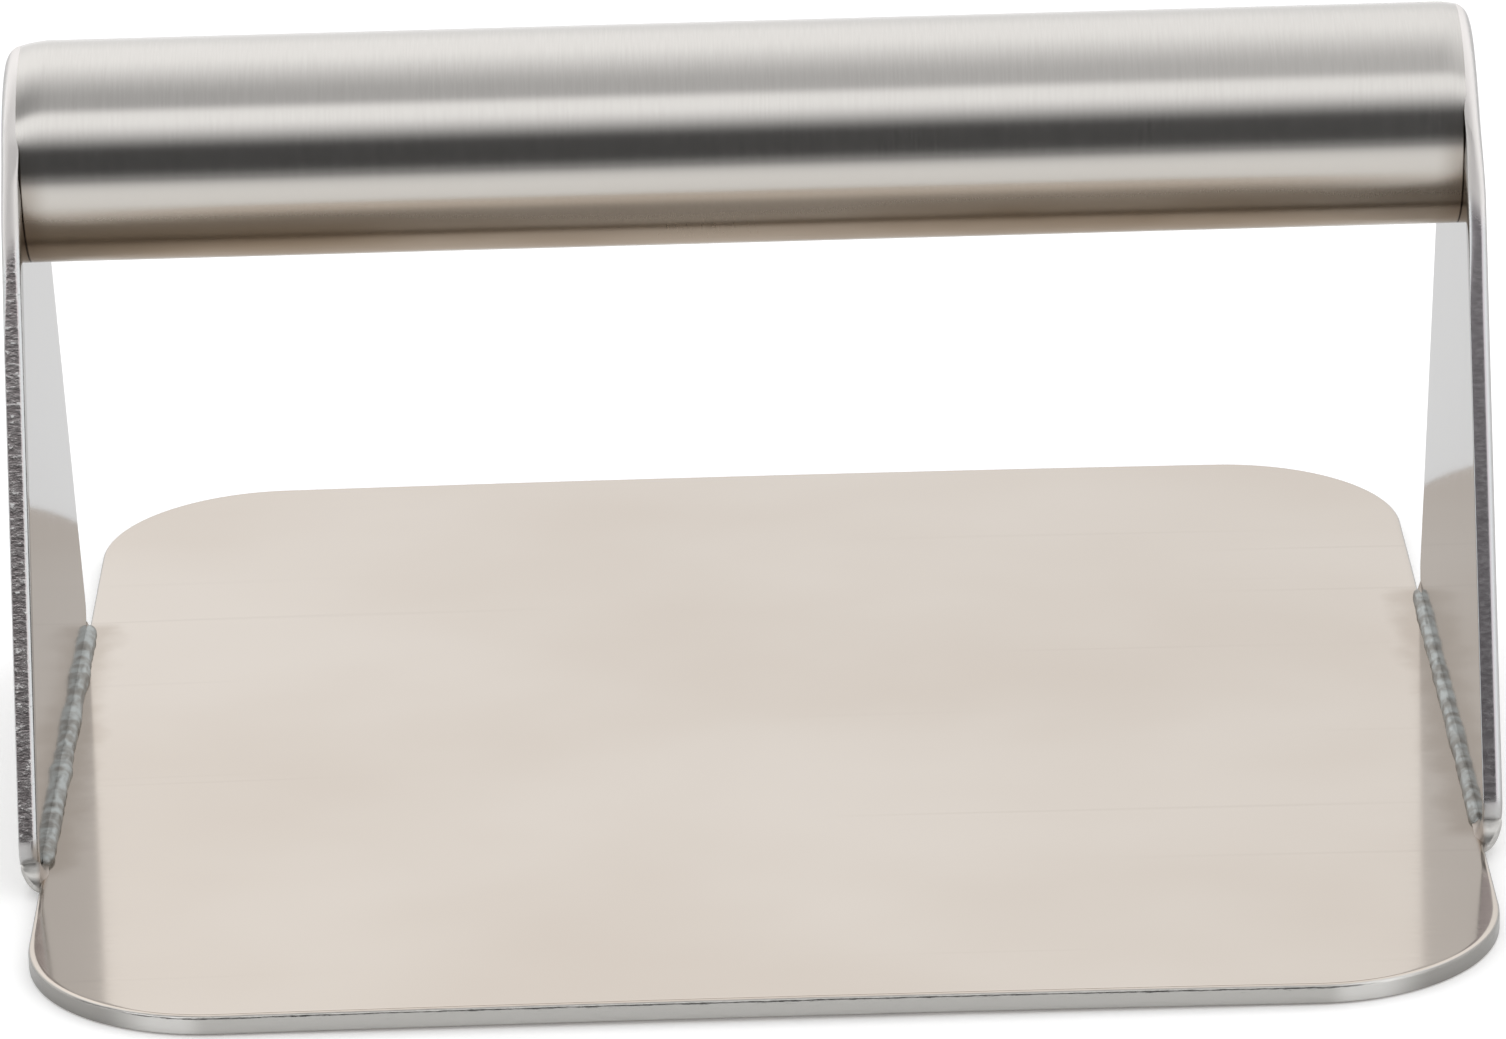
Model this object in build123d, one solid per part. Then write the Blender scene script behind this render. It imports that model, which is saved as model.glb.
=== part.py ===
from build123d import *
import os
from math import asin, atan2, cos, hypot, sin

# Bacon press: a flat pressing plate, two upright side plates and a round tube handle, all in thin
# stainless steel and joined by welds. Nothing moves.
#
# Millimetres, +Z up. The origin is the centre of the pressing face, which lies on z = 0.
# +X runs along the handle. The user stands on the -Y side.

# Sheet parts
SHEET = 2.3
PLATE_WIDTH = 163.4
PLATE_DEPTH = 166.4
PLATE_CORNER_RADIUS = 22.0
PLATE_TOP_EDGE_ROUND = 0.5
PLATE_BOTTOM_EDGE_ROUND = 0.3

# The uprights stand outside the plate's edges, corner to corner with its top face.
FOOT_HALF_WIDTH = 40.2
FOOT_CORNER_RADIUS = 3.6
OUTER_EDGE_ROUND = 0.5
INNER_EDGE_ROUND = 0.3

# Handle
TUBE_RADIUS = 12.7
TUBE_WALL = 1.5
TUBE_AXIS_HEIGHT = 76.3
HANDLE_SHIFT = -4.2         # the handle and the uprights sit a little nearer the user

# Welds
TUBE_BEVEL = 0.7            # along the tube, for the weld metal round its upper half
TUBE_WELD_RISE = 4.1        # the tube weld reaches down to this height above the tube's axis
FILLET_TOE = 1.5            # leg of the inner fillet weld on the plate
FILLET_THROAT_BULGE = 0.2
FILLET_LEG = 1.7            # leg of the inner fillet weld on the upright
FILLET_FRONT_SETBACK = 5.2  # the bead starts this far behind the foot's front
FILLET_BACK_SETBACK = 1.0
CORNER_WELD_SETBACK = 0.8
CORNER_WELD_BOTTOM = 0.6    # height of its lower edge on the plate's side
CORNER_WELD_RISE = 1.0      # its outer edge starts this far above the plate's top

EDGE_X = PLATE_WIDTH / 2            # the plate's side edge and the upright's inner face
OUTER_X = EDGE_X + SHEET            # the upright's outer face
FOOT_FRONT = HANDLE_SHIFT - FOOT_HALF_WIDTH
FOOT_BACK = HANDLE_SHIFT + FOOT_HALF_WIDTH
TUBE_AXIS = Axis((0, HANDLE_SHIFT, TUBE_AXIS_HEIGHT), (1, 0, 0))


def pressing_plate():
    """Flat plate with four round corners and its sharp edges taken off."""
    outline = RectangleRounded(PLATE_WIDTH, PLATE_DEPTH, PLATE_CORNER_RADIUS)
    plate = extrude(outline, SHEET)
    plate = fillet(plate.faces().sort_by(Axis.Z)[-1].edges(), PLATE_TOP_EDGE_ROUND)
    return fillet(plate.faces().sort_by(Axis.Z)[0].edges(), PLATE_BOTTOM_EDGE_ROUND)


def upright_outline():
    """Tombstone outline, drawn with row Y and Z: two straight edges tangent to the tube's circle."""
    rise = TUBE_AXIS_HEIGHT - SHEET
    reach = hypot(FOOT_HALF_WIDTH, rise)
    slope = atan2(rise, FOOT_HALF_WIDTH) + asin(TUBE_RADIUS / reach)
    edge_length = (reach**2 - TUBE_RADIUS**2) ** 0.5
    shoulder_inset = edge_length * cos(slope)
    shoulder_height = SHEET + edge_length * sin(slope)

    front_foot = (FOOT_FRONT, SHEET)
    front_shoulder = (FOOT_FRONT + shoulder_inset, shoulder_height)
    crown = (HANDLE_SHIFT, TUBE_AXIS_HEIGHT + TUBE_RADIUS)
    back_shoulder = (FOOT_BACK - shoulder_inset, shoulder_height)
    back_foot = (FOOT_BACK, SHEET)
    outline = make_face(
        [
            Line(front_foot, front_shoulder),
            ThreePointArc(front_shoulder, crown, back_shoulder),
            Line(back_shoulder, back_foot),
            Line(back_foot, front_foot),
        ]
    )
    return fillet(outline.vertices().group_by(Axis.Y)[0], FOOT_CORNER_RADIUS)


def right_upright():
    """Side plate on the +X side, with both of its rims rounded."""
    upright = extrude(Plane.YZ.offset(EDGE_X) * upright_outline(), SHEET)
    upright = fillet(upright.faces().sort_by(Axis.X)[-1].edges(), OUTER_EDGE_ROUND)
    return fillet(upright.faces().sort_by(Axis.X)[0].edges(), INNER_EDGE_ROUND)


def bead(section, front, back):
    """Straight bead: a section drawn with row X and Z, run along Y from front to back."""
    return extrude(Plane.XZ.offset(-back) * section, back - front)


def right_tube_weld_blank():
    """Ring of weld metal round the upper half of the tube's +X end, ground flush with the tube."""
    root_radius = TUBE_RADIUS - INNER_EDGE_ROUND
    section = make_face(
        Polyline(
            (EDGE_X - TUBE_BEVEL, TUBE_RADIUS),
            (EDGE_X, root_radius),
            (EDGE_X + INNER_EDGE_ROUND, root_radius),
            (EDGE_X + INNER_EDGE_ROUND, TUBE_RADIUS),
            close=True,
        )
    )
    at_axis = Plane((0, HANDLE_SHIFT, TUBE_AXIS_HEIGHT), x_dir=(1, 0, 0), z_dir=(0, -1, 0))
    ring = revolve(at_axis * section, TUBE_AXIS)
    half_space = Box(
        4 * TUBE_RADIUS, 4 * TUBE_RADIUS, 2 * TUBE_RADIUS, align=(Align.CENTER, Align.CENTER, Align.MIN)
    )
    above = Pos(EDGE_X, HANDLE_SHIFT, TUBE_AXIS_HEIGHT + TUBE_WELD_RISE) * half_space
    return ring & above


def right_corner_weld_blank():
    """Weld metal in the open corner below the upright, ground round from its outer face to the plate."""
    top = SHEET + CORNER_WELD_RISE
    section = make_face(
        [
            Line((EDGE_X, CORNER_WELD_BOTTOM), (EDGE_X, top)),
            Line((EDGE_X, top), (OUTER_X, top)),
            TangentArc((OUTER_X, top), (EDGE_X, CORNER_WELD_BOTTOM), tangent=(0, -1)),
        ]
    )
    return bead(section, FOOT_FRONT + CORNER_WELD_SETBACK, FOOT_BACK - CORNER_WELD_SETBACK)


def right_fillet_weld_blank():
    """Fillet weld in the inner corner between the plate and the upright."""
    toe_x = EDGE_X - FILLET_TOE
    root = SHEET - PLATE_TOP_EDGE_ROUND
    leg_top = SHEET + FILLET_LEG
    section = make_face(
        [
            Line((EDGE_X, root), (toe_x, root)),
            Line((toe_x, root), (toe_x, SHEET)),
            SagittaArc((toe_x, SHEET), (EDGE_X, leg_top), FILLET_THROAT_BULGE),
            Line((EDGE_X, leg_top), (EDGE_X, root)),
        ]
    )
    return bead(section, FOOT_FRONT + FILLET_FRONT_SETBACK, FOOT_BACK - FILLET_BACK_SETBACK)


def handle_tube(right_weld_blank):
    """Round tube that fits between the uprights, bevelled where the tube welds sit."""
    lying = Plane((0, HANDLE_SHIFT, TUBE_AXIS_HEIGHT), z_dir=(1, 0, 0))
    outside = lying * Cylinder(TUBE_RADIUS, PLATE_WIDTH)
    bore = lying * Cylinder(TUBE_RADIUS - TUBE_WALL, PLATE_WIDTH)
    return outside - bore - right_weld_blank - mirror(right_weld_blank, Plane.YZ)


plate = pressing_plate()
upright = right_upright()
tube_weld_blank = right_tube_weld_blank()
right_side = {
    "side_plate": upright,
    "handle_weld": tube_weld_blank - upright,
    "corner_weld": right_corner_weld_blank() - upright,
    "fillet_weld": right_fillet_weld_blank() - plate,
}

os.makedirs("parts", exist_ok=True)
export_step(plate, "parts/base_plate.step")
export_step(handle_tube(tube_weld_blank), "parts/handle_tube.step")
for name, shape in right_side.items():
    export_step(shape, f"parts/right_{name}.step")
    export_step(mirror(shape, Plane.YZ), f"parts/left_{name}.step")
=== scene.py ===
"""Bacon press in welded stainless steel: ground handle ends, weld beads, finishes, light and camera."""
from math import asin, atan2, cos, degrees, hypot, pi, radians, sin, sqrt, tan

import bpy
from mathutils import Euler, Matrix, Vector, noise


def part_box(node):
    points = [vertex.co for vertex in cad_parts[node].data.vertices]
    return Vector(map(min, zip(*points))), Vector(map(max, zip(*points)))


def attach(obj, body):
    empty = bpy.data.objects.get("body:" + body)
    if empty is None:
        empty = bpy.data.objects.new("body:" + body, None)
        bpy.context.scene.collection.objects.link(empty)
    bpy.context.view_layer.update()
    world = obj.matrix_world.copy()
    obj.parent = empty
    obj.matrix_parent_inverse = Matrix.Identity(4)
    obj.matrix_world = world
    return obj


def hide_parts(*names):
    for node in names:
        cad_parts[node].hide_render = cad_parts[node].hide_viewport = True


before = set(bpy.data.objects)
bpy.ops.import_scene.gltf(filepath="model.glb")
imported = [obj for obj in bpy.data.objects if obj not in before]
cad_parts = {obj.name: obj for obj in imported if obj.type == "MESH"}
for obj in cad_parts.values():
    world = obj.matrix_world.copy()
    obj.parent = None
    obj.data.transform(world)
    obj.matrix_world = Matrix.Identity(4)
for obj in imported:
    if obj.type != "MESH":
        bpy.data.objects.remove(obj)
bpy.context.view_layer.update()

# Sizes in metres, read from the frame where it holds them.
plate_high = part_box("base_plate")[1]
upright_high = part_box("right_side_plate")[1]
tube_low, tube_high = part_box("handle_tube")
bead_low, bead_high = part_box("right_fillet_weld")
corner_low, corner_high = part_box("right_corner_weld")
EDGE_X = plate_high.x                      # plate's side edge and the upright's inner face
OUTER_X = upright_high.x
PLATE_TOP = plate_high.z
TUBE_RADIUS = (tube_high.z - tube_low.z) / 2
TUBE_Y = (tube_low.y + tube_high.y) / 2
TUBE_Z = (tube_low.z + tube_high.z) / 2
TUBE_WALL = 0.0015
FOOT_HALF_WIDTH = 0.0402                   # sharp corner to sharp corner, before the feet are rounded
FOOT_RADIUS = 0.0036
INNER_ROUND = 0.0003                       # upright's inner edge where the tube weld meets it
PLATE_CORNER = 0.0220
PLATE_CROWN = 0.00042                      # rise of the plate's middle line over its side edges
PLATE_UPPER_ROUND = 0.0005
PLATE_LOWER_ROUND = 0.0003
SUPPORT = 0.0004                           # narrow flat band beside each round: keeps the faces' shading flat
WELD_END = TUBE_Z + 0.0041                 # height of the tube welds' lower ends
TUBE_BEVEL = 0.0007
RUNOUT = 0.00006                           # width of bevel and round where the tube welds run out
RUNOUT_TOP = WELD_END + 0.0016             # above this the bevel and the round have their full width
RUNOUT_FOOT = WELD_END - 0.0040            # below this the inner edge has its own round again
# The upright's edges run from the feet to touch the round crown that follows the tube
FOOT_ANGLE = atan2(TUBE_Z - PLATE_TOP, FOOT_HALF_WIDTH) + asin(
    TUBE_RADIUS / hypot(FOOT_HALF_WIDTH, TUBE_Z - PLATE_TOP)
)
SOLE_REACH = FOOT_HALF_WIDTH - FOOT_RADIUS / tan(FOOT_ANGLE / 2)

CREASE = radians(32)                       # edges that turn more than this stay sharp

# How each handle end was ground: depth and reach of the dip along the tube, lean of the outer face
GRINDING = {
    "left": {"dip": 0.0011, "reach": 0.0052, "lean": 0.00025},
    "right": {"dip": 0.0008, "reach": 0.0040, "lean": 0.00055},
}
DIP_TOP = WELD_END + 0.0080                # the dip starts at the weld's end and is full depth up here
DIP_CURVE = 1.7                            # above 1: the dip falls away faster towards the outer face
CROWN_FOOT = TUBE_Z - 0.0060               # the outer face is upright below this
CROWN_TOP = TUBE_Z + 0.0068                # and has its full lean above this
CROWN_ROUND = 0.0005                       # extra round on the outer edge of the crown
CROWN_FADE = 0.0045                        # distance down the outer face in which the lean dies out
# Both uprights were sheared the same way up, so the rolled-over edge is on the +X face of each
SHEARED = {
    "left": {"inner": 0.0009, "outer": 0.0002},
    "right": {"inner": 0.0002, "outer": 0.0010},
}
HAND_EASED = {"inner": 0.0011, "outer": 0.0009}    # both edges near the handle
EASED_FOOT = TUBE_Z - 0.0180               # the sheared edges start to turn into the eased ones
EASED_TOP = TUBE_Z - 0.0070
# Fillet welds: their own random pattern, and how far they reach over the plate and up the upright
BEADS = {
    "left": {"seed": 11.0, "toe": 0.00118, "leg": 0.00120},
    "right": {"seed": 47.0, "toe": 0.00098, "leg": 0.00110},
}
BEAD_PITCH = 0.0021                        # from one ripple to the next
SIDES = {"left": -1, "right": 1}

# Camera
CAMERA_PLACE = (-0.00112, -0.85183, 0.34232)
CAMERA_DOWN = radians(20.293)
CAMERA_YAW = radians(-0.084)
CAMERA_ROLL = radians(-1.5765)
CAMERA_LENS = 185.03
SENSOR_WIDTH = 36.0


def ease(value, start, end):
    """0 at start, 1 at end, smooth in between. start may be the larger."""
    t = min(1.0, max(0.0, (value - start) / (end - start)))
    return t * t * (3 - 2 * t)


# ---------------------------------------------------------------- meshes

def add_piece(name, points, faces, replaced):
    """Object that rides on the root body in place of one CAD node."""
    mesh = bpy.data.meshes.new(name)
    mesh.from_pydata(points, [], faces)
    mesh.update()
    mesh.shade_smooth()
    mesh.set_sharp_from_angle(angle=CREASE)
    obj = bpy.data.objects.new(name, mesh)
    bpy.context.scene.collection.objects.link(obj)
    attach(obj, "root")
    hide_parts(replaced)
    return obj


def loft(rings, joined, mirrored):
    """Quads between closed rings of points. joined: last ring meets the first; else both ends are capped."""
    size = len(rings[0])
    points = [point for ring in rings for point in ring]
    faces = []
    for k in range(len(rings) if joined else len(rings) - 1):
        start = k * size
        following = (k + 1) % len(rings) * size
        for j in range(size):
            after = (j + 1) % size
            faces.append((start + j, start + after, following + after, following + j))
    if not joined:
        faces.append(tuple(reversed(range(size))))
        faces.append(tuple(range(len(points) - size, len(points))))
    if mirrored:
        faces = [tuple(reversed(face)) for face in faces]
    return points, faces


def sweep_rim(rings, mirrored):
    """Quads between the rings of a closed rim, with a flat face across each of its two openings."""
    size = len(rings[0])
    points = [point for ring in rings for point in ring]
    faces = []
    for k in range(len(rings)):
        start = k * size
        following = (k + 1) % len(rings) * size
        for j in range(size - 1):
            faces.append((start + j, following + j, following + j + 1, start + j + 1))
    faces.append(tuple(k * size for k in reversed(range(len(rings)))))
    faces.append(tuple(k * size + size - 1 for k in range(len(rings))))
    if mirrored:
        faces = [tuple(reversed(face)) for face in faces]
    return points, faces


def quarter_round(radius, steps):
    """Points of a quarter circle as (rise, depth), from the flat face at depth = radius to the rim."""
    turns = [pi / 2 * k / steps for k in range(steps + 1)]
    return [(radius * (1 - cos(turn)), radius * (1 - sin(turn))) for turn in turns]


def plate_outline():
    """Closed outline of the plate as (x, y, outward x, outward y), with round corners."""
    corner_steps, edge_steps = 28, 30
    half_x = EDGE_X - PLATE_CORNER
    half_y = plate_high.y - PLATE_CORNER
    corners = ((half_x, half_y), (-half_x, half_y), (-half_x, -half_y), (half_x, -half_y))
    outline = []
    for number, (cx, cy) in enumerate(corners):
        for k in range(corner_steps + 1):
            turn = pi / 2 * (number + k / corner_steps)
            nx, ny = cos(turn), sin(turn)
            outline.append((cx + PLATE_CORNER * nx, cy + PLATE_CORNER * ny, nx, ny))
        next_x, next_y = corners[(number + 1) % 4]
        for k in range(1, edge_steps):
            t = k / edge_steps
            x = cx + (next_x - cx) * t + PLATE_CORNER * nx
            y = cy + (next_y - cy) * t + PLATE_CORNER * ny
            outline.append((x, y, nx, ny))
    return outline


def make_plate():
    """Pressing plate: a hand-ground rim, and faces that welding has pulled into a very slight crown."""
    face_steps, round_steps = 16, 6
    hub = 0.01                             # size of the innermost ring as a share of the outline
    deepest_wear, wear_waves = 0.00006, 60
    shares = [hub] + [k / face_steps for k in range(1, face_steps + 1)]
    lower_depth = PLATE_LOWER_ROUND + SUPPORT
    upper_depth = PLATE_UPPER_ROUND + SUPPORT
    profile = [(share, 0.0, lower_depth) for share in shares]
    profile += [(1.0, rise, depth) for rise, depth in quarter_round(PLATE_LOWER_ROUND, round_steps)]
    profile.append((1.0, PLATE_TOP / 2, 0.0))
    upper_round = reversed(quarter_round(PLATE_UPPER_ROUND, round_steps))
    profile += [(1.0, PLATE_TOP - rise, depth) for rise, depth in upper_round]
    profile += [(share, PLATE_TOP, upper_depth) for share in reversed(shares)]
    rings = []
    for x, y, nx, ny in plate_outline():
        place = Vector((x * wear_waves, y * wear_waves, 2.0))
        worn = deepest_wear * (0.5 + 0.5 * noise.noise(place))
        ring = []
        for share, z, depth in profile:
            px = (x - nx * (depth + worn)) * share
            py = (y - ny * (depth + worn)) * share
            ring.append((px, py, z + PLATE_CROWN * (1 - (px / EDGE_X) ** 2)))
        rings.append(ring)
    points, faces = sweep_rim(rings, False)
    return add_piece("pressing_plate", points, faces, "base_plate")


def ground_depth(side, x, z):
    """Metal ground off the handle's upper surface at distance x from the middle and height z."""
    grinding = GRINDING[side]
    from_face = OUTER_X - x
    if from_face > grinding["reach"]:
        return 0.0
    upper = ease(z, WELD_END, DIP_TOP)
    return upper * grinding["dip"] * (1 - from_face / grinding["reach"]) ** DIP_CURVE


def tube_bevel(height):
    """Bevel on the tube's ends: only where the weld fills it."""
    return RUNOUT + (TUBE_BEVEL - RUNOUT) * ease(height, WELD_END, RUNOUT_TOP)


def edge_round(side, edge, height):
    """Round on one edge of the upright's rim, before the tube weld is allowed for."""
    sheared = SHEARED[side][edge]
    return sheared + (HAND_EASED[edge] - sheared) * ease(height, EASED_FOOT, EASED_TOP)


def inner_round(side, height):
    """Round on the upright's inner edge: nearly sharp where the tube weld runs out."""
    if height > WELD_END:
        return RUNOUT + (INNER_ROUND - RUNOUT) * ease(height, WELD_END, RUNOUT_TOP)
    return RUNOUT + (edge_round(side, "inner", height) - RUNOUT) * ease(height, WELD_END, RUNOUT_FOOT)


def make_tube():
    """Handle tube with a bore; its outer rings crowd towards the ends, where it is ground."""
    steps = 240
    end_gaps = (0.0009, 0.0012, 0.0018, 0.0025, 0.0033, 0.0042, 0.0060, 0.0200)
    bore = TUBE_RADIUS - TUBE_WALL
    rings = []
    for k in range(steps):
        turn = 2 * pi * k / steps
        height = TUBE_Z + TUBE_RADIUS * sin(turn)
        bevel = tube_bevel(height)
        depths = [(0.0, bevel), (bevel, 0.0)] + [(gap, 0.0) for gap in end_gaps]
        ring = []
        for side, order in (("left", depths), ("right", reversed(depths))):
            for gap, depth in order:
                x = EDGE_X - gap
                radius = TUBE_RADIUS - ground_depth(side, x, height) - depth
                ring.append((SIDES[side] * x, TUBE_Y - radius * cos(turn), TUBE_Z + radius * sin(turn)))
        for x in (EDGE_X, -EDGE_X):
            ring.append((x, TUBE_Y - bore * cos(turn), TUBE_Z + bore * sin(turn)))
        rings.append(ring)
    points, faces = loft(rings, True, False)
    return add_piece("handle_grip", points, faces, "handle_tube")


def make_handle_weld(side):
    """Ring of weld metal, ground flush, that narrows away at its two lower ends."""
    sign = SIDES[side]
    steps, steps_across = 120, 4
    lowest = asin((WELD_END - TUBE_Z) / TUBE_RADIUS)
    root = TUBE_RADIUS - TUBE_BEVEL
    rings = []
    for k in range(steps + 1):
        turn = lowest + (pi - 2 * lowest) * k / steps
        height = TUBE_Z + TUBE_RADIUS * sin(turn)
        first = EDGE_X - tube_bevel(height)
        last = EDGE_X + inner_round(side, height)
        top = [first + (last - first) * i / steps_across for i in range(steps_across + 1)]
        profile = [(x, TUBE_RADIUS - ground_depth(side, x, height)) for x in top]
        profile += [(last, root), (first, root)]
        rings.append([(sign * x, TUBE_Y - r * cos(turn), TUBE_Z + r * sin(turn)) for x, r in profile])
    points, faces = loft(rings, False, side == "left")
    return add_piece(f"{side}_handle_seam", points, faces, f"{side}_handle_weld")


def upright_outline():
    """Closed outline of the upright as (y, z, outward y, outward z), starting from its highest point."""
    lean = pi / 2 - FOOT_ANGLE
    half = []
    crown_steps, edge_steps, foot_steps, sole_steps = 60, 90, 16, 8
    for k in range(crown_steps):
        turn = pi / 2 - (pi / 2 - lean) * k / crown_steps
        half.append((TUBE_RADIUS * cos(turn), TUBE_Z + TUBE_RADIUS * sin(turn), cos(turn), sin(turn)))
    shoulder = (TUBE_RADIUS * cos(lean), TUBE_Z + TUBE_RADIUS * sin(lean))
    foot_centre = (SOLE_REACH, PLATE_TOP + FOOT_RADIUS)
    ankle = (foot_centre[0] + FOOT_RADIUS * cos(lean), foot_centre[1] + FOOT_RADIUS * sin(lean))
    for k in range(edge_steps):
        t = k / edge_steps
        y = shoulder[0] + (ankle[0] - shoulder[0]) * t
        z = shoulder[1] + (ankle[1] - shoulder[1]) * t
        half.append((y, z, cos(lean), sin(lean)))
    for k in range(foot_steps):
        turn = lean - (lean + pi / 2) * k / foot_steps
        ny, nz = cos(turn), sin(turn)
        half.append((foot_centre[0] + FOOT_RADIUS * ny, foot_centre[1] + FOOT_RADIUS * nz, ny, nz))
    for k in range(sole_steps + 1):
        half.append((SOLE_REACH * (1 - k / sole_steps), PLATE_TOP, 0.0, -1.0))
    other = [(-y, z, -ny, nz) for y, z, ny, nz in reversed(half[1:-1])]
    return [(TUBE_Y + y, z, ny, nz) for y, z, ny, nz in half + other]


def rim_profile(side, z):
    """Section of the upright's rim at height z, as (x, depth below the outline) from inner face to outer."""
    inner_steps, outer_steps = 6, 8
    fade_shares = (0.04, 0.2, 0.4, 0.6, 0.8, 1.0)
    crown = ease(z, CROWN_FOOT, CROWN_TOP)
    outer_round = edge_round(side, "outer", z) + CROWN_ROUND * crown
    lean = GRINDING[side]["lean"] * crown
    flat_end = OUTER_X - lean - outer_round
    near_round = inner_round(side, z)
    profile = [(EDGE_X, near_round + SUPPORT)]
    profile += [(EDGE_X + rise, depth) for rise, depth in quarter_round(near_round, inner_steps)]
    profile.append(((EDGE_X + near_round + flat_end) / 2, 0.0))
    far_round = reversed(quarter_round(outer_round, outer_steps))
    profile += [(OUTER_X - lean - rise, depth) for rise, depth in far_round]
    profile = [(x, depth + ground_depth(side, x, z)) for x, depth in profile]
    rim_depth = profile[-1][1]
    blend_depth = SUPPORT + CROWN_FADE * crown
    for share in fade_shares:
        fade = 1 - ease(share, 0.0, 1.0)
        profile.append((OUTER_X - lean * fade, rim_depth + blend_depth * share))
    profile.append((OUTER_X, rim_depth + blend_depth + SUPPORT))
    return profile


def make_upright(side):
    """Upright with one rolled and one sharp sheared edge, and a crown ground to follow the tube."""
    sign = SIDES[side]
    rings = []
    for y, z, ny, nz in upright_outline():
        rings.append([(sign * x, y - ny * depth, z - nz * depth) for x, depth in rim_profile(side, z)])
    points, faces = sweep_rim(rings, side == "right")
    return add_piece(f"{side}_upright", points, faces, f"{side}_side_plate")


def make_corner_weld(side):
    """Weld metal under the upright, ground round; its soft ends fill in beneath the foot's round corners."""
    sign = SIDES[side]
    overrun = 0.0005                       # the soft ends reach past the straight weld's ends
    end_length = 0.0026                    # length in which an end swells to full size
    tip = 0.0004                           # square of the swell at the very tip
    inset, root_drop = 0.0009, 0.0006      # lowest inner corner, from the plate's top corner
    skin = 0.00004                         # the inner ramp starts this far below the plate's top
    belly_drop = 0.0003                    # from the weld's top down to its widest line
    front, back = corner_low.y - overrun, corner_high.y + overrun
    width = corner_high.x - EDGE_X
    rise = 0.0002 + 0.6 * SHEARED[side]["outer"]
    furthest = FOOT_RADIUS * 0.8           # under a foot's round corner the weld's top stops rising here
    heart = 0.0006                         # the ends close on a point this far above the lowest line
    runout = Vector((0.0, corner_low.z + heart))
    stations, arc_steps, half_steps = 160, 12, 6
    rings = []
    for k in range(stations + 1):
        y = front + (back - front) * (1 - cos(pi * k / stations)) / 2
        from_end = min(y - front, back - y)
        swell = sqrt(max(tip, 1 - max(0.0, 1 - from_end / end_length) ** 2))
        past = min(max(abs(y - TUBE_Y) - SOLE_REACH, 0.0), furthest)
        top = PLATE_TOP + rise + FOOT_RADIUS - sqrt(FOOT_RADIUS**2 - past**2)
        widest = top - belly_drop
        section = [(-inset, PLATE_TOP - root_drop)]
        for j in range(half_steps):
            share = j / half_steps
            section.append((inset * (share - 1), PLATE_TOP - skin + (top - PLATE_TOP) * share**1.3))
        for j in range(half_steps):
            turn = pi / 2 * (1 - j / half_steps)
            section.append((width * cos(turn) ** 0.6, widest + (top - widest) * sin(turn)))
        for j in range(arc_steps + 1):
            turn = pi / 2 * j / arc_steps
            section.append((width * cos(turn) ** 0.9, widest - (widest - corner_low.z) * sin(turn)))
        ring = [runout + (Vector(point) - runout) * swell for point in section]
        rings.append([(sign * (EDGE_X + x), y, z) for x, z in ring])
    points, faces = loft(rings, False, side == "left")
    return add_piece(f"{side}_foot_seam", points, faces, f"{side}_corner_weld")


def make_bead(side):
    """Rippled fillet weld: overlapping scales that differ in size, lumps, and blunt ends."""
    sign = SIDES[side]
    seed, toe, leg = (BEADS[side][key] for key in ("seed", "toe", "leg"))
    end_length = 0.0014                    # length in which an end swells to full size
    tip = 0.0005                           # square of the swell at the very tip
    root_drop = 0.0004                     # the root is buried this far below the plate's top
    lag = 0.0011                           # each ripple's toes trail its middle
    jitter = 0.0005
    power = 0.85                           # under 1: the section is fuller than a circle's
    front, back = bead_low.y, bead_high.y
    stations, turns = 360, 14
    rings = []
    for k in range(stations + 1):
        y = front + (back - front) * k / stations
        from_end = min(y - front, back - y)
        swell = sqrt(max(tip, 1 - max(0.0, 1 - from_end / end_length) ** 2))
        wander = noise.noise(Vector((seed, y * 130, 0.0)))
        ring = [(sign * EDGE_X, y, PLATE_TOP - root_drop)]
        for j in range(turns + 1):
            turn = pi / 2 * j / turns
            bow = lag * (turn / (pi / 2) * 2 - 1) ** 2
            phase = (y + bow + jitter * noise.noise(Vector((seed, y * 260, 5.0)))) / BEAD_PITCH
            scale_size = 0.012 + 0.020 * noise.cell(Vector((int(phase) + 0.5, seed, 0.5)))
            scallop = scale_size * (abs(sin(pi * phase)) ** 0.6 - 0.6)
            lump = 0.13 * noise.noise(Vector((y * 480 + seed, turn * 1.7, seed)))
            grow = swell * (1 + 0.16 * wander + scallop + lump)
            x = EDGE_X - toe * cos(turn) ** power * grow
            z = PLATE_TOP + leg * sin(turn) ** power * grow
            ring.append((sign * x, y, z))
        rings.append(ring)
    points, faces = loft(rings, False, side == "left")
    return add_piece(f"{side}_weld_bead", points, faces, f"{side}_fillet_weld")


# ---------------------------------------------------------------- materials

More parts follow.
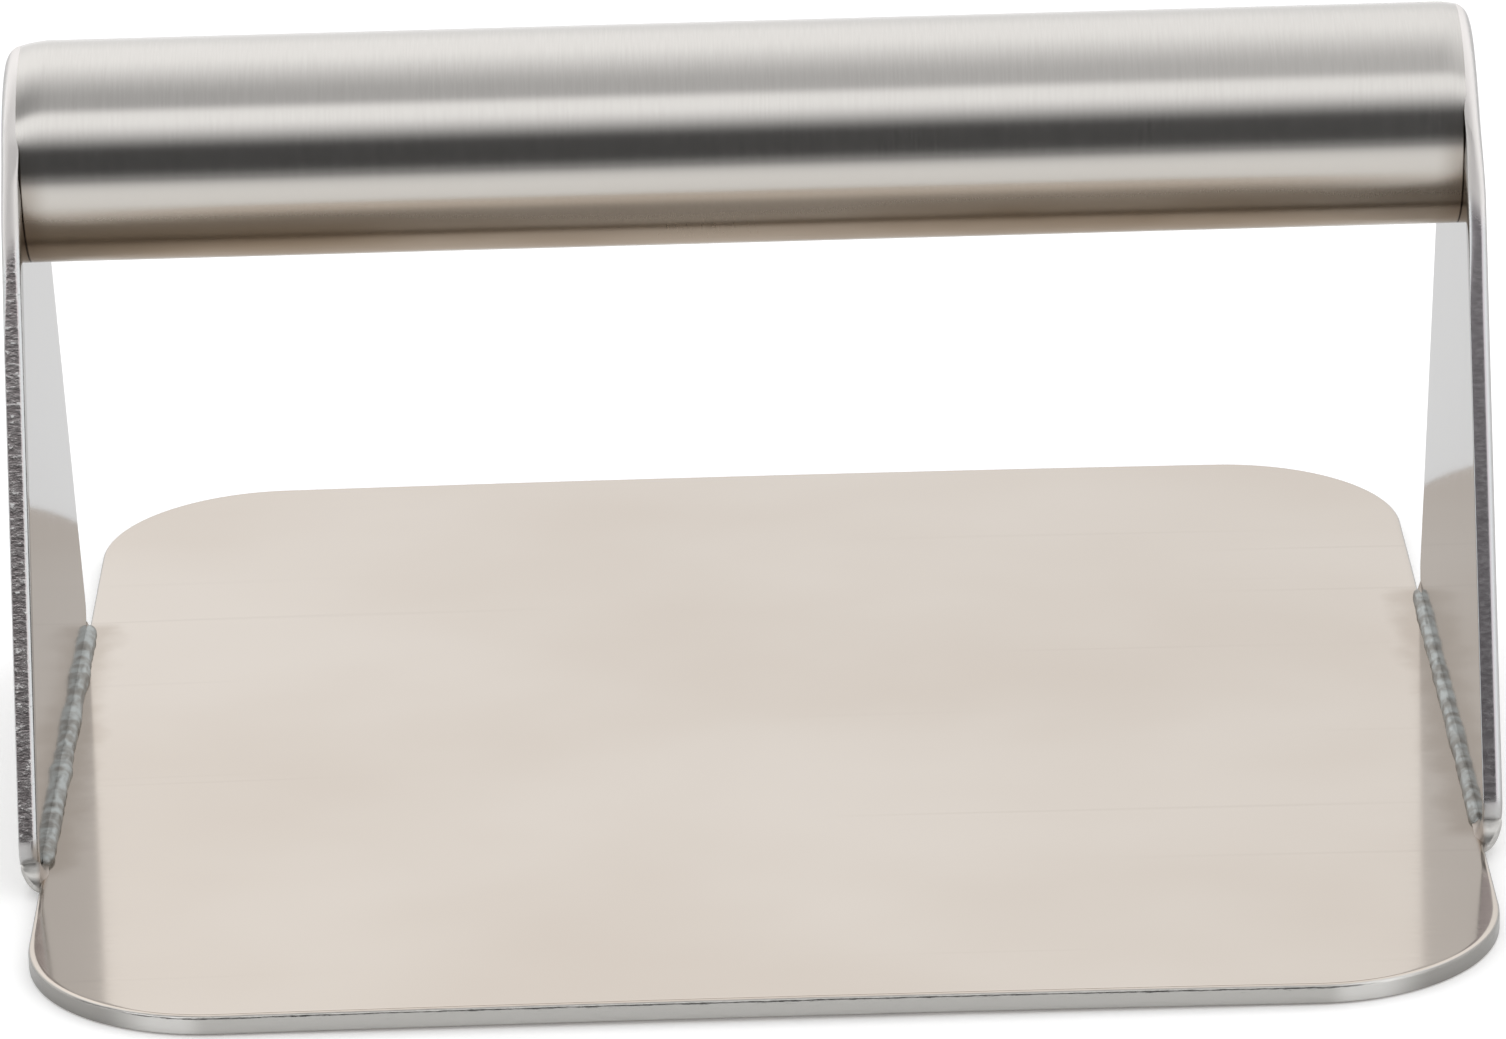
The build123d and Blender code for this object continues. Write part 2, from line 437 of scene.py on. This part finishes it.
class Nodes:
    """Shorthand for building one node tree."""

    def __init__(self, tree):
        self.tree = tree
        tree.nodes.clear()

    def add(self, kind, inputs=None, **settings):
        node = self.tree.nodes.new(kind)
        for name, value in settings.items():
            setattr(node, name, value)
        for name, value in (inputs or {}).items():
            self.feed(node.inputs[name], value)
        return node

    def feed(self, socket, value):
        if isinstance(value, bpy.types.NodeSocket):
            self.tree.links.new(value, socket)
        else:
            socket.default_value = value

    def math(self, operation, first, second=0.0):
        node = self.add("ShaderNodeMath", operation=operation)
        self.feed(node.inputs[0], first)
        self.feed(node.inputs[1], second)
        return node.outputs[0]

    def times(self, *factors):
        product = factors[0]
        for factor in factors[1:]:
            product = self.math("MULTIPLY", product, factor)
        return product

    def smooth(self, value, start, end, low=0.0, high=1.0):
        """low at start, high at end, easing in between."""
        if start > end:
            start, end, low, high = end, start, high, low
        node = self.add(
            "ShaderNodeMapRange",
            {"Value": value, "From Min": start, "From Max": end, "To Min": low, "To Max": high},
            interpolation_type="SMOOTHSTEP",
        )
        return node.outputs["Result"]

    def blend(self, factor, first, second):
        """Number from first to second."""
        node = self.add("ShaderNodeMix", data_type="FLOAT")
        for socket, value in zip((node.inputs[0], node.inputs[2], node.inputs[3]), (factor, first, second)):
            self.feed(socket, value)
        return node.outputs[0]

    def mix(self, factor, first, second):
        """Colour from first to second."""
        node = self.add("ShaderNodeMix", data_type="RGBA")
        self.feed(node.inputs["Factor"], factor)
        for socket, value in zip((s for s in node.inputs if s.type == "RGBA"), (first, second)):
            if not isinstance(value, bpy.types.NodeSocket):
                value = (*value, 1.0)
            self.feed(socket, value)
        return next(s for s in node.outputs if s.type == "RGBA")

    def noise(self, scale, detail=2.0, roughness=0.5):
        """Noise from 0 to 1 with its own frequency, in cells a metre, along each axis."""
        place = self.add("ShaderNodeTexCoord").outputs["Object"]
        stretched = self.add("ShaderNodeVectorMath", {"Vector": place}, operation="MULTIPLY")
        stretched.inputs[1].default_value = scale
        node = self.add(
            "ShaderNodeTexNoise",
            {
                "Vector": stretched.outputs["Vector"],
                "Scale": 1.0,
                "Detail": detail,
                "Roughness": roughness,
            },
        )
        return node.outputs["Fac"]

    def specks(self, cells, radius, rarity):
        """1 inside small dots: one in each cell whose random number is above rarity."""
        place = self.add("ShaderNodeTexCoord").outputs["Object"]
        node = self.add("ShaderNodeTexVoronoi", {"Vector": place, "Scale": cells})
        chosen = self.add("ShaderNodeSeparateColor", {"Color": node.outputs["Color"]}).outputs["Red"]
        inside = self.smooth(node.outputs["Distance"], radius, radius * 0.5)
        return self.times(inside, self.math("GREATER_THAN", chosen, rarity))

    def axes(self, output="Object"):
        source = self.add("ShaderNodeTexCoord").outputs[output]
        node = self.add("ShaderNodeSeparateXYZ", {"Vector": source})
        return node.outputs["X"], node.outputs["Y"], node.outputs["Z"]

    def bump(self, height, distance, beneath=None):
        node = self.add("ShaderNodeBump", {"Height": height, "Distance": distance, "Strength": 1.0})
        if beneath is not None:
            self.feed(node.inputs["Normal"], beneath)
        return node.outputs["Normal"]

    def steel(self, colour, roughness, normal, edge_tint, anisotropic=0.0):
        shader = self.add(
            "ShaderNodeBsdfPrincipled",
            {
                "Base Color": colour,
                "Metallic": 1.0,
                "Roughness": roughness,
                "Normal": normal,
                "Anisotropic": anisotropic,
                "Specular Tint": (edge_tint, edge_tint, edge_tint, 1.0),
            },
        )
        if anisotropic:
            around = self.add("ShaderNodeTangent", direction_type="RADIAL", axis="X")
            self.feed(shader.inputs["Tangent"], around.outputs["Tangent"])
            shader.inputs["Anisotropic Rotation"].default_value = 0.25
        output = self.add("ShaderNodeOutputMaterial")
        self.tree.links.new(shader.outputs["BSDF"], output.inputs["Surface"])


def new_material(name):
    material = bpy.data.materials.new(name)
    material.use_nodes = True
    return material, Nodes(material.node_tree)


def heat_by_beads(n, x, y, z):
    """1 right beside the fillet welds, fading to 0 a few millimetres off, on plate and upright alike."""
    far, full = 0.0052, 0.0012             # distance from the weld's root
    raggedness = 0.0008
    ahead, beyond = 0.0045, 0.0030         # how far the tint runs past the weld's front and back ends
    inward = n.math("SUBTRACT", EDGE_X, n.math("ABSOLUTE", x))
    off_root = n.math("MAXIMUM", inward, n.math("SUBTRACT", z, PLATE_TOP))
    ragged = n.smooth(n.noise((160, 160, 160), detail=3.0), 0.3, 0.7, -raggedness, raggedness)
    near = n.smooth(n.math("ADD", off_root, ragged), far, full)
    before = n.smooth(y, bead_low.y - ahead, bead_low.y - 0.0005)
    behind = n.smooth(y, bead_high.y + beyond, bead_high.y)
    return n.times(near, before, behind)


def plate_steel():
    """Rolled sheet, faintly streaked and specked; the ground rim has painted reflection, lighter where its
    corners begin and darker round the corners and along the sides.
    """
    material, n = new_material("plate_steel")
    x, y, z = n.axes()
    mottle = n.noise((13, 16, 13), detail=3.0)
    grain = n.noise((70, 3200, 3200), detail=2.0)
    tone = n.mix(n.smooth(mottle, 0.3, 0.7), (0.535, 0.474, 0.418), (0.582, 0.528, 0.476))
    rolling = n.noise((5, 420, 5), detail=3.0)
    tone = n.mix(n.smooth(rolling, 0.62, 0.80, 0.0, 0.35), tone, (0.46, 0.41, 0.365))
    tone = n.mix(n.specks(55, 0.016, 0.80), tone, (0.16, 0.13, 0.11))
    heat = heat_by_beads(n, x, y, z)
    tone = n.mix(n.math("MULTIPLY", heat, 0.55), tone, (0.36, 0.30, 0.245))
    edge = n.smooth(n.math("ABSOLUTE", n.axes("Normal")[2]), 0.95, 0.6)
    turned = n.math("ABSOLUTE", n.axes("Normal")[0])
    # Painted reflection on the rim: lighter where the corners begin, darker round the corners and along the
    # sides
    rim_painted_reflection = n.mix(n.smooth(turned, 0.04, 0.18), (0.48, 0.47, 0.45), (0.64, 0.63, 0.61))
    rim_painted_reflection = n.mix(n.smooth(turned, 0.30, 0.60), rim_painted_reflection, (0.32, 0.31, 0.295))
    tone = n.mix(edge, tone, rim_painted_reflection)
    rim_marks = n.noise((500, 500, 2500), detail=3.0)
    rim_rough = n.smooth(rim_marks, 0.2, 0.8, 0.18, 0.26)
    roughness = n.blend(edge, n.smooth(grain, 0.2, 0.8, 0.08, 0.12), rim_rough)
    height = n.blend(edge, n.times(grain, 0.03), rim_marks)
    n.steel(tone, roughness, n.bump(height, 0.00005), 0.9)
    return material


def brushed_tube():
    """Tube brushed round its axis, with painted reflection and painted shade low down, and scorched beside
    the bare seams at its ends.
    """
    material, n = new_material("brushed_tube")
    x, _, z = n.axes()
    end = n.math("ABSOLUTE", x)
    streaks = n.noise((5600, 260, 260), detail=2.0)
    cloud = n.noise((17, 40, 40), detail=4.0)
    tone = n.mix(n.smooth(streaks, 0.25, 0.75), (0.543, 0.526, 0.505), (0.567, 0.550, 0.529))
    # Painted reflection: the lower half is lighter and warmer, standing in for the plate and floor below it
    tone = n.mix(n.smooth(z, TUBE_Z + 0.003, TUBE_Z - 0.003, 0.0, 0.7), tone, (0.625, 0.592, 0.545))
    # Painted shade: darker and browner in clouds low on the tube, where it faces the plate; the same region
    # is also rougher
    shaded_underside = n.times(n.smooth(z, TUBE_Z - 0.002, TUBE_Z - 0.0075), n.smooth(cloud, 0.35, 0.65, 0.5, 1.0))
    tone = n.mix(shaded_underside, tone, (0.36, 0.30, 0.235))
    seam = n.times(
        n.smooth(end, EDGE_X - 0.0002, EDGE_X - 0.00005),
        n.smooth(z, WELD_END + 0.0006, WELD_END - 0.0006),
    )
    scorched = n.times(
        n.smooth(end, EDGE_X - 0.0035, EDGE_X - 0.0002),
        n.smooth(z, WELD_END + 0.0010, WELD_END - 0.0060),
    )
    tone = n.mix(n.times(scorched, 0.45), tone, (0.22, 0.165, 0.12))
    tone = n.mix(seam, tone, (0.10, 0.075, 0.055))
    roughness = n.blend(shaded_underside, n.smooth(streaks, 0.2, 0.8, 0.20, 0.23), 0.34)
    n.steel(tone, roughness, n.bump(streaks, 0.0000005), 0.9, anisotropic=0.85)
    return material


def upright_steel():
    """Brushed faces; a rim that is ground near the handle, its bright tone there partly painted highlight,
    sheared below it with painted glints on the left rim, and plain at the feet.
    """
    material, n = new_material("upright_steel")
    foot_top = PLATE_TOP + FOOT_RADIUS
    x, y, z = n.axes()
    turned = n.math("ABSOLUTE", n.axes("Normal")[0])
    rim = n.smooth(turned, 0.9, 0.55)
    cut = n.smooth(turned, 0.62, 0.30)
    outward = n.math("SUBTRACT", n.math("ABSOLUTE", x), EDGE_X)
    ground_line = n.math("ADD", z, n.math("MULTIPLY", outward, 1.4))
    ground = n.smooth(ground_line, TUBE_Z - 0.0070, TUBE_Z - 0.0030)
    left = n.smooth(x, 0.01, -0.01)
    grain = n.noise((2600, 2600, 120), detail=2.0)
    striations = n.noise((1000, 2300, 2300), detail=3.0, roughness=0.65)
    above_foot = n.smooth(z, foot_top - 0.0006, foot_top + 0.0022)
    # Painted glints: bright specks on the left rim's striated cut, standing in for small facets catching the
    # light
    painted_glints = n.times(n.smooth(striations, 0.60, 0.69), left, above_foot)

    face_tone = n.mix(n.smooth(grain, 0.3, 0.7), (0.485, 0.48, 0.475), (0.54, 0.535, 0.53))
    heat = heat_by_beads(n, x, y, z)
    face_tone = n.mix(n.math("MULTIPLY", heat, 0.6), face_tone, (0.36, 0.31, 0.265))
    cut_tone = n.mix(n.smooth(striations, 0.3, 0.7), (0.43, 0.385, 0.39), (0.60, 0.57, 0.57))
    cut_tone = n.mix(n.blend(left, 0.15, 1.0), (0.52, 0.49, 0.515), cut_tone)
    cut_tone = n.mix(painted_glints, cut_tone, (0.85, 0.85, 0.85))
    cut_tone = n.mix(cut, (0.58, 0.60, 0.61), cut_tone)
    cut_tone = n.mix(above_foot, (0.56, 0.555, 0.55), cut_tone)
    # Ground zone near the handle: a real ground finish, its bright tone partly painted highlight
    cut_tone = n.mix(ground, cut_tone, (0.80, 0.775, 0.76))
    tone = n.mix(rim, face_tone, cut_tone)

    cut_rough = n.blend(above_foot, 0.36, n.smooth(striations, 0.3, 0.7, 0.17, 0.27))
    cut_rough = n.blend(painted_glints, cut_rough, 0.60)
    cut_rough = n.blend(ground, cut_rough, 0.55)
    roughness = n.blend(rim, n.smooth(grain, 0.2, 0.8, 0.06, 0.10), cut_rough)
    cut_depth = n.blend(ground, n.blend(left, 0.04, 0.85), 0.03)
    cut_height = n.times(striations, cut, cut_depth, n.blend(above_foot, 0.1, 1.0))
    n.steel(tone, roughness, n.bump(cut_height, 0.00007, n.bump(grain, 0.000001)), 0.72)
    return material


def ground_weld_steel():
    """Weld metal under the feet, scratched by the grinder and browned on its inner side."""
    material, n = new_material("ground_weld_steel")
    x = n.axes()[0]
    scratches = n.noise((900, 900, 2400), detail=3.0)
    tone = n.mix(n.smooth(scratches, 0.3, 0.7), (0.50, 0.49, 0.47), (0.60, 0.59, 0.57))
    inside = n.smooth(n.math("ABSOLUTE", x), EDGE_X + 0.0006, EDGE_X - 0.0003)
    tone = n.mix(inside, tone, (0.40, 0.35, 0.31))
    n.steel(tone, n.smooth(scratches, 0.2, 0.8, 0.30, 0.38), n.bump(scratches, 0.000004), 0.9)
    return material


def bead_steel():
    """Grey weld scale with lighter blotches and fine pits."""
    material, n = new_material("bead_steel")
    blotches = n.noise((520, 520, 520), detail=3.0)
    pits = n.noise((3200, 3200, 3200), detail=2.0)
    tone = n.mix(n.smooth(blotches, 0.35, 0.65), (0.27, 0.262, 0.245), (0.38, 0.40, 0.395))
    roughness = n.smooth(blotches, 0.3, 0.7, 0.52, 0.40)
    n.steel(tone, roughness, n.bump(pits, 0.00003), 0.9)
    return material


# ---------------------------------------------------------------- studio

def studio_world():
    """White all round, with a dim patch on the camera's side and soft lights above and behind it."""
    world = bpy.data.worlds.new("studio")
    bpy.context.scene.world = world
    world.use_nodes = True
    n = Nodes(world.node_tree)
    x, y, z = n.axes("Generated")
    forward = n.math("MULTIPLY", y, -1.0)
    # Degrees: climb goes from the camera's horizon at 0 over the top at 90 to the far horizon at 180
    climb = n.math("MULTIPLY", n.math("ARCTAN2", z, forward), degrees(1))
    bearing = n.math("MULTIPLY", n.math("ARCTAN2", x, forward), degrees(1))

    # Bright in front, then a gap overhead that is dimmer on the left, then bright again, settling behind
    gap = n.smooth(x, -0.45, 0.45, 0.32, 1.04)
    overhead = n.smooth(climb, 72, 126, 0.0, 1.0)
    hood = n.blend(overhead, gap, 1.36)
    settle = n.times(n.smooth(climb, 140, 172, 1.0, 0.82), n.smooth(x, -0.2, 0.2, 1.06, 0.96))
    strip = n.smooth(climb, 64, 52)
    lit = n.times(n.blend(strip, hood, 1.34), settle)

    # The dim patch on the camera's side
    below = n.smooth(climb, 46, 14)
    above = n.smooth(climb, -36, -4)
    from_left = n.smooth(bearing, -80, -50)
    to_right = n.smooth(bearing, 42, 26)
    dark = n.times(below, above, from_left, to_right)
    level = n.blend(dark, lit, 0.07)

    reflected = n.add("ShaderNodeBackground", {"Strength": level, "Color": (1.0, 1.0, 1.0, 1.0)})
    seen = n.add("ShaderNodeBackground", {"Strength": 1.05, "Color": (1.0, 1.0, 1.0, 1.0)})
    both = n.add("ShaderNodeMixShader")
    n.feed(both.inputs[0], n.add("ShaderNodeLightPath").outputs["Is Camera Ray"])
    n.feed(both.inputs[1], reflected.outputs[0])
    n.feed(both.inputs[2], seen.outputs[0])
    out = n.add("ShaderNodeOutputWorld")
    n.feed(out.inputs["Surface"], both.outputs[0])


def pale_floor():
    """White paper; in reflections it glows less, and has painted shade that darkens it towards its front
    edge.
    """
    front, back, half_width = -0.34, 2.5, 2.5
    dim_from = -0.14
    glow_seen, glow_reflected = 0.2, 0.07
    mesh = bpy.data.meshes.new("floor")
    corners = [(-half_width, front, 0), (half_width, front, 0), (half_width, back, 0), (-half_width, back, 0)]
    mesh.from_pydata(corners, [], [(0, 1, 2, 3)])
    floor = bpy.data.objects.new("floor", mesh)
    bpy.context.scene.collection.objects.link(floor)
    material, n = new_material("floor_paper")
    hidden = n.math("SUBTRACT", 1.0, n.add("ShaderNodeLightPath").outputs["Is Camera Ray"])
    # Painted shade: seen only in reflections, the floor darkens and loses its glow towards its front edge
    away = n.times(n.smooth(n.axes()[1], dim_from, front), hidden)
    shader = n.add(
        "ShaderNodeBsdfPrincipled",
        {
            "Base Color": n.mix(away, (0.93, 0.93, 0.93), (0.20, 0.20, 0.20)),
            "Roughness": 0.9,
            "Emission Color": (1.0, 1.0, 1.0, 1.0),
            "Emission Strength": n.blend(away, n.blend(hidden, glow_seen, glow_reflected), 0.0),
        },
    )
    out = n.add("ShaderNodeOutputMaterial")
    n.feed(out.inputs["Surface"], shader.outputs["BSDF"])
    mesh.materials.append(material)


def camera():
    data = bpy.data.cameras.new("camera")
    data.lens = CAMERA_LENS
    data.sensor_width = SENSOR_WIDTH
    data.dof.use_dof = False
    data.clip_start = 0.01
    data.clip_end = 20.0
    obj = bpy.data.objects.new("camera", data)
    bpy.context.scene.collection.objects.link(obj)
    turn = Euler((pi / 2 - CAMERA_DOWN, 0.0, CAMERA_YAW)).to_matrix() @ Matrix.Rotation(CAMERA_ROLL, 3, "Z")
    obj.matrix_world = Matrix.Translation(CAMERA_PLACE) @ turn.to_4x4()
    bpy.context.scene.camera = obj


def give(obj, material):
    obj.data.materials.clear()
    obj.data.materials.append(material)
    for polygon in obj.data.polygons:
        polygon.material_index = 0


plate_material = plate_steel()
upright_material = upright_steel()
tube_material = brushed_tube()
weld_material = ground_weld_steel()
bead_material = bead_steel()

# The CAD nodes are all replaced, but each still carries a material
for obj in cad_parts.values():
    give(obj, plate_material)
give(make_plate(), plate_material)
give(make_tube(), tube_material)
for side in SIDES:
    give(make_handle_weld(side), tube_material)
    give(make_upright(side), upright_material)
    give(make_corner_weld(side), weld_material)
    give(make_bead(side), bead_material)

studio_world()
pale_floor()
camera()
bpy.context.scene.view_settings.view_transform = "Standard"
